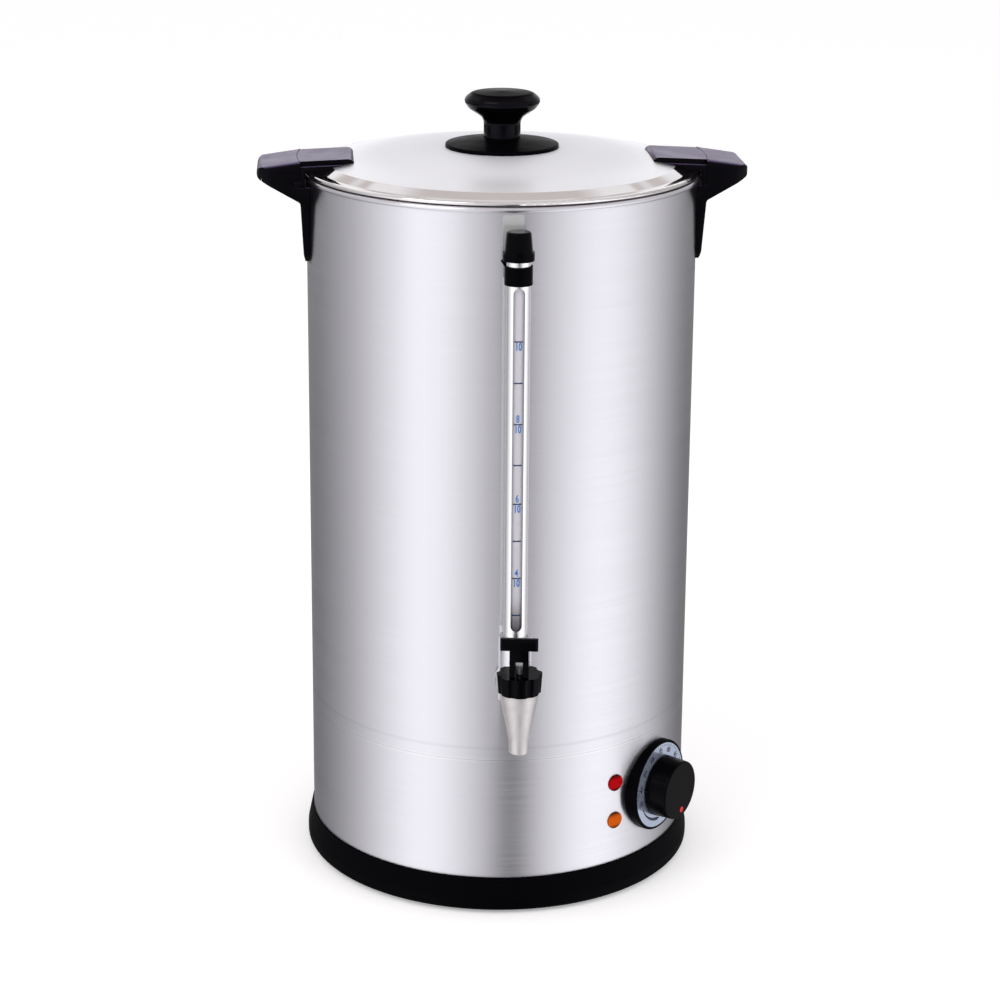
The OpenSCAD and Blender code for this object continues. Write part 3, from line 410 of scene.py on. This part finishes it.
class URN_OT_dress_steel(bpy.types.Operator):
    """Gives the tank, lid, gauge and tap their steel"""

    bl_idname = "urn.dress_steel"
    bl_label = "Dress the steel"

    def execute(self, context):
        look = context.scene.urn_finishes
        steel = tuple(look.steel)
        f, tint = brushed("steel_body", steel, look.body_rough)
        z = f.height()
        # Painted highlight: a pale line along the seam with the skirt; painted shade: a faint dark line
        # along the crease above it.
        crease = SEAM_Z + 0.0097
        bright = f.span(f.math("ABSOLUTE", f.math("SUBTRACT", z, SEAM_Z)), 0.0004, 0.002, 0.5, 0.0)
        faint = f.span(f.math("ABSOLUTE", f.math("SUBTRACT", z, crease)), 0.0004, 0.0018, 0.22, 0.0)
        lit = f.blend(bright, tint, (0.86, 0.86, 0.87))
        f.link(f.blend(faint, lit, (0.5, 0.5, 0.51)), f.shader.inputs["Base Color"])
        f.turned(0.9)
        paint(f.material, "tank_wall", "base_skirt")

        f = Finish("steel_lid", (0.8, 0.8, 0.81), 1.0, look.lid_rough)
        f.turned(0.25)
        radius = f.axis_radius()
        shoulder = BODY_R - 0.0162
        satin = f.span(radius, 0.085, 0.13, look.lid_rough * 1.85, look.lid_rough)
        edge = f.span(radius, shoulder - 0.0006, shoulder + 0.0006, 0.0, 1.0)
        polish = f.node("ShaderNodeMix")
        f.link(edge, polish.inputs["Factor"])
        f.link(satin, polish.inputs["A"])
        polish.inputs["B"].default_value = 0.08
        f.link(polish.outputs["Result"], f.shader.inputs["Roughness"])
        # Painted shade: the dome's colour is a little darker close to the knob.
        knob_shade_fade = f.span(radius, 0.03, 0.1, 0.0, 1.0)
        dome = f.blend(knob_shade_fade, (0.92, 0.93, 0.97), (0.95, 0.96, 0.99))
        f.link(f.blend(edge, dome, (0.8, 0.775, 0.775)), f.shader.inputs["Base Color"])
        paint(f.material, "lid_cover")

        paint(plain("steel_strip", (0.97, 0.97, 0.98), 0.62, 0.08).material, "gauge_strip")
        f = plain("steel_shield", (0.88, 0.88, 0.89), 1.0, 0.22)
        low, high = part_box("gauge_shield")
        depth = f.node("ShaderNodeSeparateXYZ")
        f.link(f.coords(), depth.inputs[0])
        # Painted shade: the shield's back half, which faces the body, is painted dark.
        shade = f.span(depth.outputs[1], low.y + 0.003, (low.y + high.y) / 2, 0.0, 1.0)
        f.link(f.blend(shade, (0.88, 0.88, 0.89), (0.22, 0.22, 0.23)), f.shader.inputs["Base Color"])
        paint(f.material, "gauge_shield")
        paint(plain("steel_tap", (0.66, 0.63, 0.63), 0.85, 0.5).material, "tap_body", "tap_nut")
        paint(plain("steel_tee", steel, 1.0, 0.26).material, "tap_tee")
        paint(plain("steel_stem", (0.78, 0.77, 0.77), 0.45, 0.3).material, "tap_stem", "lever_pin")
        paint(plain("steel_bright", (0.7, 0.7, 0.71), 1.0, 0.2).material, "tap_spring", "thermostat_shaft",
              "base_screws", "handle_screws", "dial_screws", "knob_screw", "lug_screws")
        paint(brushed("steel_floor", (0.6, 0.6, 0.61), 0.34, (300, 300, 4))[0].material, "tank_floor")
        return {"FINISHED"}


class URN_OT_dress_plastic(bpy.types.Operator):
    """Gives the base, handles, knobs and tap their black plastic"""

    bl_idname = "urn.dress_plastic"
    bl_label = "Dress the plastic"

    def execute(self, context):
        black = tuple(context.scene.urn_finishes.black)
        deep = tuple(c * 0.5 for c in black)
        satin = top_shine(moulded("black_satin", black, 0.34, 0.03), 0.02, 0.008)
        gloss = top_shine(moulded("black_gloss", deep, 0.12), 0.055, 0.055)
        crown = top_shine(moulded("black_crown", black, 0.12), 0.1, 0.0015)
        # The handles and the lid's lugs get a painted purple-grey sheen on their faces that look up.
        painted_top_sheen = top_shine(moulded("black_handle", black, 0.34, 0.03), 0.065, 0.34, (0.1, 0.075, 0.155))
        paint(satin, "base_ring", "knob_skirt", "gauge_collar", "dial_bezel", "cord_gland")
        paint(painted_top_sheen, "handle_left", "handle_right", "lid_lug_left", "lid_lug_right")
        paint(gloss, "gauge_cap", "tap_bonnet", "tap_lever")
        paint(crown, "lid_knob")
        paint(top_shine(moulded("black_knob", deep, 0.22), 0.055, 0.02), "dial_knob")
        paint(plain("dial_silver", (0.64, 0.72, 0.92), 0.78, 0.17).material, "dial_plate")
        paint(moulded("pointer_red", (0.62, 0.012, 0.012), 0.3).material, "dial_pointer", "reset_button")
        rubber = moulded("foot_rubber", (0.02, 0.02, 0.02), 0.6, 0.1).material
        paint(rubber, "feet", "tap_washers", "gauge_seal")
        return {"FINISHED"}


class URN_OT_dress_glass(bpy.types.Operator):
    """Gives the sight glass and the lamps their clear and tinted finishes"""

    bl_idname = "urn.dress_glass"
    bl_label = "Dress the glass and lamps"

    def execute(self, context):
        look = context.scene.urn_finishes
        glass = Finish("sight_glass", (0.7, 0.72, 0.77), 0.0, 0.12)
        low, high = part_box("gauge_glass")
        rise = glass.span(glass.height(), low.z, high.z, 0.0, 1.0)
        clear = glass.blend(rise, (0.56, 0.55, 0.6), (0.58, 0.565, 0.61))
        # Painted shade: the glass turns much darker where it sinks below the bottom of the shield's slot.
        slot_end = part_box("tap_tee")[1].z + 0.006
        dark_end = slot_end + 0.028
        slot_shade = glass.span(glass.height(), slot_end, dark_end, 1.0, 0.0)
        clear = glass.blend(slot_shade, clear, (0.13, 0.12, 0.14))
        glass.link(clear, glass.shader.inputs["Base Color"])
        # Painted light: the glass glows in its own colour, so the shaded slot looks brighter.
        glass.link(clear, glass.shader.inputs["Emission Color"])
        glass.set("Emission Strength", 0.12)
        glass.set("IOR", 1.45)
        glass.set("Transmission Weight", 0.15)
        paint(glass.material, "gauge_glass")
        for name, node, colour, ribs in (("lens_red", "lamp_heating", look.lamp_red, 90),
                                         ("lens_amber", "lamp_keep_warm", look.lamp_amber, 330)):
            lens = Finish(name, tuple(colour), 0.0, 0.25)
            lens.set("Specular IOR Level", 0.03)
            low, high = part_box(node)
            middle = (low + high) / 2
            off = lens.node("ShaderNodeVectorMath", operation="LENGTH")
            lens.link(lens.coords((0.0, 0.0, 1.0), (0, 0, -middle.z)), off.inputs[0])
            edge = (high.z - low.z) / 2
            # Painted shade: the lens darkens towards its upper and lower edges, where it sits recessed in
            # its hole.
            rim_shade = lens.span(off.outputs["Value"], edge * 0.35, edge, 0.0, 1.0)
            deep = tuple(c * 0.12 for c in colour)
            tint = lens.blend(rim_shade, tuple(colour), deep)
            lens.link(tint, lens.shader.inputs["Base Color"])
            lens.link(tint, lens.shader.inputs["Emission Color"])
            lens.set("Emission Strength", 0.33)
            wave = lens.node("ShaderNodeTexWave", wave_type="BANDS", bands_direction="DIAGONAL")
            wave.inputs["Scale"].default_value = ribs
            lens.link(lens.coords(), wave.inputs["Vector"])
            lens.bump(wave.outputs["Fac"], 0.25, 0.0006)
            paint(lens.material, node)
        return {"FINISHED"}


class URN_OT_dress_inside(bpy.types.Operator):
    """Gives the heater, thermostat and wiring pieces their finishes"""

    bl_idname = "urn.dress_inside"
    bl_label = "Dress the inside"

    def execute(self, context):
        paint(plain("zinc_sheet", (0.42, 0.43, 0.44), 0.9, 0.42).material, "base_plate")
        paint(moulded("pale_plastic", (0.66, 0.62, 0.5), 0.45).material, "lamp_holders", "terminal_block",
              "thermostat_body", "dry_cutout")
        paint(plain("copper", (0.7, 0.33, 0.2), 1.0, 0.28).material, "thermostat_bulb")
        paint(plain("cast_aluminium", (0.55, 0.55, 0.56), 1.0, 0.45).material, "heater_plate")
        sheath = plain("element_sheath", (0.16, 0.15, 0.15), 0.8, 0.5).material
        paint(sheath, "heating_element", "keep_warm_element")
        paint(plain("seat_silicone", (0.75, 0.75, 0.73), 0.0, 0.45).material, "seat_cup")
        return {"FINISHED"}


class URN_OT_print_gauge(bpy.types.Operator):
    """Prints the level marks on the sight glass"""

    bl_idname = "urn.print_gauge"
    bl_label = "Print the gauge"

    def execute(self, context):
        sizes = context.scene.urn_prints
        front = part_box("gauge_glass")[0].y - GLASS_GAP
        ink = plain("print_blue", tuple(context.scene.urn_finishes.print_blue), 0.0, 0.35).material
        navy = plain("print_navy_tick", (0.008, 0.03, 0.11), 0.0, 0.35).material
        ticks = []
        for z in [mark[0] for mark in LONG_MARKS] + list(SHORT_MARKS):
            deselect()
            bpy.ops.mesh.primitive_cube_add(size=1, location=(0, front + INK / 2, z))
            tick = bpy.context.object
            tick.scale = (sizes.tick, INK, MARK_HEIGHT)
            ticks.append(tick)
        settle(join(ticks), "gauge_ticks", "urn", navy)
        digits = []
        drop = 0.0011 + sizes.digit / 2
        for z, above, below in LONG_MARKS:
            for words, height in ((above, z + drop), (below, z - drop)):
                if not words:
                    continue
                deselect()
                bpy.ops.object.text_add(location=(0, front, height), rotation=(math.radians(90), 0, 0))
                text = bpy.context.object
                text.data.body = words
                text.data.size = sizes.digit * 1.4
                text.data.extrude = INK / 2
                text.data.offset = sizes.digit * 0.025
                text.data.align_x = "CENTER"
                text.data.align_y = "CENTER"
                text.scale = (0.62, 1.0, 1.0)
                bpy.ops.object.convert(target="MESH")
                bpy.ops.object.transform_apply(location=True, rotation=True, scale=True)
                digits.append(bpy.context.object)
        settle(join(digits), "gauge_digits", "urn", ink)
        return {"FINISHED"}


class URN_OT_print_dial(bpy.types.Operator):
    """Prints the scale on the dial plate"""

    bl_idname = "urn.print_dial"
    bl_label = "Print the dial"

    def execute(self, context):
        sizes = context.scene.urn_prints
        ink = plain("print_navy", (0.012, 0.016, 0.05), 0.0, 0.4).material
        low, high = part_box("dial_plate")
        middle = (low + high) / 2
        azimuth = math.atan2(middle.x, AXIS.y - middle.y)
        out = Vector((math.sin(azimuth), -math.cos(azimuth), 0))
        reach = max((v.co - AXIS).dot(out) for v in nodes["dial_plate"].data.vertices)
        place = outward(azimuth, reach + PLATE_GAP, middle.z)
        parts = []
        edge = (high.z - low.z) / 2

        def put(obj, angle, radius, turn=0.0, size=(1, 1, 1)):
            """Lays a print at an angle and a distance from the dial's middle."""
            spot = Vector((radius * math.cos(angle), radius * math.sin(angle), 0))
            obj.matrix_world = (place @ Matrix.Translation(spot) @ Matrix.Rotation(angle + turn, 4, "Z")
                                @ Matrix.Diagonal((*size, 1)))
            bpy.ops.object.transform_apply(location=True, rotation=True, scale=True)
            parts.append(obj)

        for k, number in enumerate(DIAL_NUMBERS):
            deselect()
            bpy.ops.object.text_add(location=(0, 0, 0))
            text = bpy.context.object
            text.data.body = str(number)
            text.data.size = sizes.dial_digit * 1.3
            text.data.extrude = INK / 2
            text.data.offset = sizes.dial_digit * 0.02
            text.data.align_x = "CENTER"
            text.data.align_y = "CENTER"
            bpy.ops.object.convert(target="MESH")
            angle = math.radians(DIAL_START - k * DIAL_STEP)
            put(bpy.context.object, angle, edge - 0.0058, -math.pi / 2)
        for k in range((len(DIAL_NUMBERS) - 1) * TICKS_PER_STEP + 1):
            deselect()
            bpy.ops.mesh.primitive_cube_add(size=1)
            length = 0.0012 if k % TICKS_PER_STEP else 0.0022
            angle = math.radians(DIAL_START - k * DIAL_STEP / TICKS_PER_STEP)
            put(bpy.context.object, angle, edge - 0.0012 - length / 2, size=(length, 0.0005, INK))
        for k in range(BAND_PIECES):
            deselect()
            bpy.ops.mesh.primitive_cube_add(size=1)
            swell = (1 - k / BAND_PIECES) * min(1, k / 4 + 0.2)
            angle = math.radians(BAND_START - k * BAND_STEP)
            put(bpy.context.object, angle, edge - 0.0062, size=(0.0006 + 0.0024 * swell, 0.0012, INK))
        settle(join(parts), "dial_scale", "urn", ink)
        return {"FINISHED"}


class URN_OT_soften_edges(bpy.types.Operator):
    """Rounds the moulded edges of the handles, the lid's lugs and the tap's lever"""

    bl_idname = "urn.soften_edges"
    bl_label = "Soften the edges"

    def execute(self, context):
        edge = context.scene.urn_prints.edge
        for node, body, slot, share in SOFT_PIECES:
            material = nodes[node].data.materials[0]
            piece = copy_of(node)
            bpy.ops.object.mode_set(mode="EDIT")
            bpy.ops.mesh.select_all(action="SELECT")
            bpy.ops.mesh.dissolve_limited(angle_limit=math.radians(0.6))
            bpy.ops.object.mode_set(mode="OBJECT")
            bevel = piece.modifiers.new("edge", "BEVEL")
            bevel.width = edge * share
            bevel.segments = 3
            bevel.limit_method = "ANGLE"
            bevel.angle_limit = math.radians(38)
            bevel.use_clamp_overlap = True
            bpy.ops.object.modifier_apply(modifier=bevel.name)
            bpy.ops.object.shade_smooth_by_angle(angle=math.radians(32))
            settle(piece, node + "_moulded", body, material)
            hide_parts(node)
        return {"FINISHED"}


class URN_OT_wind_spring(bpy.types.Operator):
    """Makes a smooth copy of the tap's spring in place of the CAD one"""

    bl_idname = "urn.wind_spring"
    bl_label = "Wind the spring"

    def execute(self, context):
        material = nodes["tap_spring"].data.materials[0]
        piece = copy_of("tap_spring")
        bpy.ops.object.shade_smooth_by_angle(angle=math.radians(70))
        settle(piece, "tap_spring_coil", "urn", material)
        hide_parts("tap_spring")
        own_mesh(piece)
        return {"FINISHED"}


class URN_OT_set_stage(bpy.types.Operator):
    """Sets the floor, the white room, the lights and the camera"""

    bl_idname = "urn.set_stage"
    bl_label = "Set the stage"

    def execute(self, context):
        scene = context.scene
        studio = scene.urn_studio
        deselect()
        bpy.ops.mesh.primitive_plane_add(size=14, location=(0, 2.0, -0.0004))
        floor = context.object
        floor.name = "floor"
        white = Finish("floor_white", (0.93, 0.93, 0.93), 0.0, 0.9)
        white.set("Emission Color", (1.0, 1.0, 1.0, 1.0))
        white.set("Emission Strength", 0.3)
        floor.data.materials.append(white.material)
        floor.visible_glossy = False
        self.room(scene, studio.world)
        for name, (place, size, share) in LIGHTS.items():
            deselect()
            bpy.ops.object.light_add(type="AREA", location=place)
            lamp = context.object
            lamp.name = name
            lamp.data.energy = studio.key * share
            lamp.data.size = size
            aim = Vector((0, AXIS.y, 0.3)) - Vector(place)
            lamp.rotation_euler = aim.to_track_quat("-Z", "Y").to_euler()
            lamp.visible_glossy = name == "key"
        self.camera(scene, studio.lens)
        scene.render.engine = "CYCLES"
        scene.cycles.samples = 128
        scene.view_settings.view_transform = "Standard"
        scene.view_settings.look = "None"
        return {"FINISHED"}

    def room(self, scene, strength):
        """A room of panels that shows in reflections, while the camera sees plain white."""
        world = bpy.data.worlds.new("white_room")
        world.use_nodes = True
        scene.world = world
        tree = world.node_tree
        back = tree.nodes["Background"]
        back.inputs["Strength"].default_value = strength

        def calc(operation, a, b=None):
            """One sum on numbers or sockets."""
            made = tree.nodes.new("ShaderNodeMath")
            made.operation = operation
            for socket, value in zip(made.inputs, (a, b)):
                if value is None:
                    continue
                if isinstance(value, (int, float)):
                    socket.default_value = value
                else:
                    tree.links.new(value, socket)
            return made.outputs[0]

        def ramp(value, stops):
            """A colour for a value, from stops that hold a grey level or a colour."""
            made = tree.nodes.new("ShaderNodeValToRGB")
            band = made.color_ramp
            band.interpolation = "LINEAR"
            while len(band.elements) < len(stops):
                band.elements.new(0.5)
            for element, (place, level) in zip(band.elements, stops):
                element.position = place
                if isinstance(level, float):
                    level = tuple(level * c for c in ROOM_TINT)
                element.color = (*level, 1)
            tree.links.new(value, made.inputs["Fac"])
            return made.outputs["Color"]

        def mix(factor, a, b):
            """Mixes two colours by a factor."""
            made = tree.nodes.new("ShaderNodeMix")
            made.data_type = "RGBA"
            tree.links.new(factor, made.inputs["Factor"])
            for socket, value in zip((made.inputs[6], made.inputs[7]), (a, b)):
                if isinstance(value, tuple):
                    socket.default_value = value
                else:
                    tree.links.new(value, socket)
            return made.outputs[2]

        split = tree.nodes.new("ShaderNodeSeparateXYZ")
        tree.links.new(tree.nodes.new("ShaderNodeTexCoord").outputs["Generated"], split.inputs[0])
        angle = calc("ARCTAN2", split.outputs[0], calc("MULTIPLY", split.outputs[1], -1.0))
        round_about = calc("DIVIDE", calc("ABSOLUTE", angle), math.pi)

        def above(start, end):
            """0 below one height of the sky and 1 above another."""
            made = tree.nodes.new("ShaderNodeMapRange")
            made.interpolation_type = "SMOOTHSTEP"
            made.inputs["From Min"].default_value = start
            made.inputs["From Max"].default_value = end
            tree.links.new(split.outputs[2], made.inputs["Value"])
            return made.outputs["Result"]

        level = ROOM_BACK
        for centre, width, strength in ROOM_PANELS:
            off = calc("DIVIDE", calc("SUBTRACT", angle, math.radians(centre)), math.radians(width))
            bell = calc("EXPONENT", calc("MULTIPLY", calc("MULTIPLY", off, off), -1.0))
            level = calc("ADD", calc("MULTIPLY", bell, strength), level)
        walls_low = tree.nodes.new("ShaderNodeVectorMath")
        walls_low.operation = "SCALE"
        walls_low.inputs[0].default_value = ROOM_TINT
        tree.links.new(level, walls_low.inputs["Scale"])
        low = walls_low.outputs["Vector"]
        high = ramp(round_about, (
            (0.0, 0.8), (0.3, 0.95), (0.55, 0.6), (0.75, 0.55), (0.88, 1.0), (1.0, 1.12)))
        walls = mix(above(-0.14, -0.03), low, high)
        ceiling = ramp(split.outputs[2], (
            (0.0, CEILING), (0.535, CEILING), (0.56, 0.86), (0.585, 0.86), (0.6, CEILING),
            (0.628, CEILING), (0.64, 0.98), (0.74, 0.98), (0.8, CEILING), (1.0, CEILING)))
        room = mix(above(0.4, 0.48), walls, ceiling)
        path = tree.nodes.new("ShaderNodeLightPath")
        seen = calc("MAXIMUM", path.outputs["Is Camera Ray"], path.outputs["Is Transmission Ray"])
        tree.links.new(mix(seen, room, (1, 1, 1, 1)), back.inputs["Color"])

    def camera(self, scene, lens):
        """The photograph's camera: a long lens from above, shifted and rolled a little."""
        turn = math.radians(CAMERA_TURN)
        pitch = math.radians(CAMERA_PITCH)
        roll = math.radians(CAMERA_ROLL)
        deselect()
        bpy.ops.object.camera_add()
        cam = bpy.context.object
        level = math.cos(pitch)
        forward = Vector((math.sin(turn) * level, math.cos(turn) * level, -math.sin(pitch)))
        side = Vector((math.cos(turn), -math.sin(turn), 0))
        top = side.cross(forward)
        right = side * math.cos(roll) + top * math.sin(roll)
        up = top * math.cos(roll) - side * math.sin(roll)
        facing = Matrix((right, up, -forward)).transposed().to_4x4()
        cam.matrix_world = Matrix.Translation(AXIS + Vector(CAMERA_PLACE)) @ facing
        cam.data.lens = lens
        cam.data.sensor_width = 36
        cam.data.shift_y = CAMERA_SHIFT
        scene.camera = cam


class URN_PT_sidebar(bpy.types.Panel):
    """Lists the urn's operators and settings"""

    bl_idname = "URN_PT_sidebar"
    bl_label = "Hot water urn"
    bl_space_type = "VIEW_3D"
    bl_region_type = "UI"
    bl_category = "Urn"

    def draw(self, context):
        for made in OPERATORS:
            self.layout.operator(made.bl_idname)
        for group in (context.scene.urn_finishes, context.scene.urn_prints, context.scene.urn_studio):
            for key in group.__annotations__:
                self.layout.prop(group, key)


OPERATORS = (
    URN_OT_dress_steel,
    URN_OT_dress_plastic,
    URN_OT_dress_glass,
    URN_OT_dress_inside,
    URN_OT_print_gauge,
    URN_OT_print_dial,
    URN_OT_soften_edges,
    URN_OT_wind_spring,
    URN_OT_set_stage,
)
GROUPS = (("urn_finishes", UrnFinishes), ("urn_prints", UrnPrints), ("urn_studio", UrnStudio))


def register():
    """Adds the settings, the operators and the panel to Blender."""
    for name, group in GROUPS:
        bpy.utils.register_class(group)
        setattr(bpy.types.Scene, name, bpy.props.PointerProperty(type=group))
    for made in (*OPERATORS, URN_PT_sidebar):
        bpy.utils.register_class(made)


def unregister():
    """Takes them out again."""
    for made in (URN_PT_sidebar, *reversed(OPERATORS)):
        bpy.utils.unregister_class(made)
    for name, group in reversed(GROUPS):
        delattr(bpy.types.Scene, name)
        bpy.utils.unregister_class(group)


def main():
    """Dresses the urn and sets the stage."""
    register()
    bpy.ops.urn.dress_steel()
    bpy.ops.urn.dress_plastic()
    bpy.ops.urn.dress_glass()
    bpy.ops.urn.dress_inside()
    bpy.ops.urn.print_gauge()
    bpy.ops.urn.print_dial()
    bpy.ops.urn.soften_edges()
    bpy.ops.urn.wind_spring()
    bpy.ops.urn.set_stage()


if __name__ == "__main__":
    main()
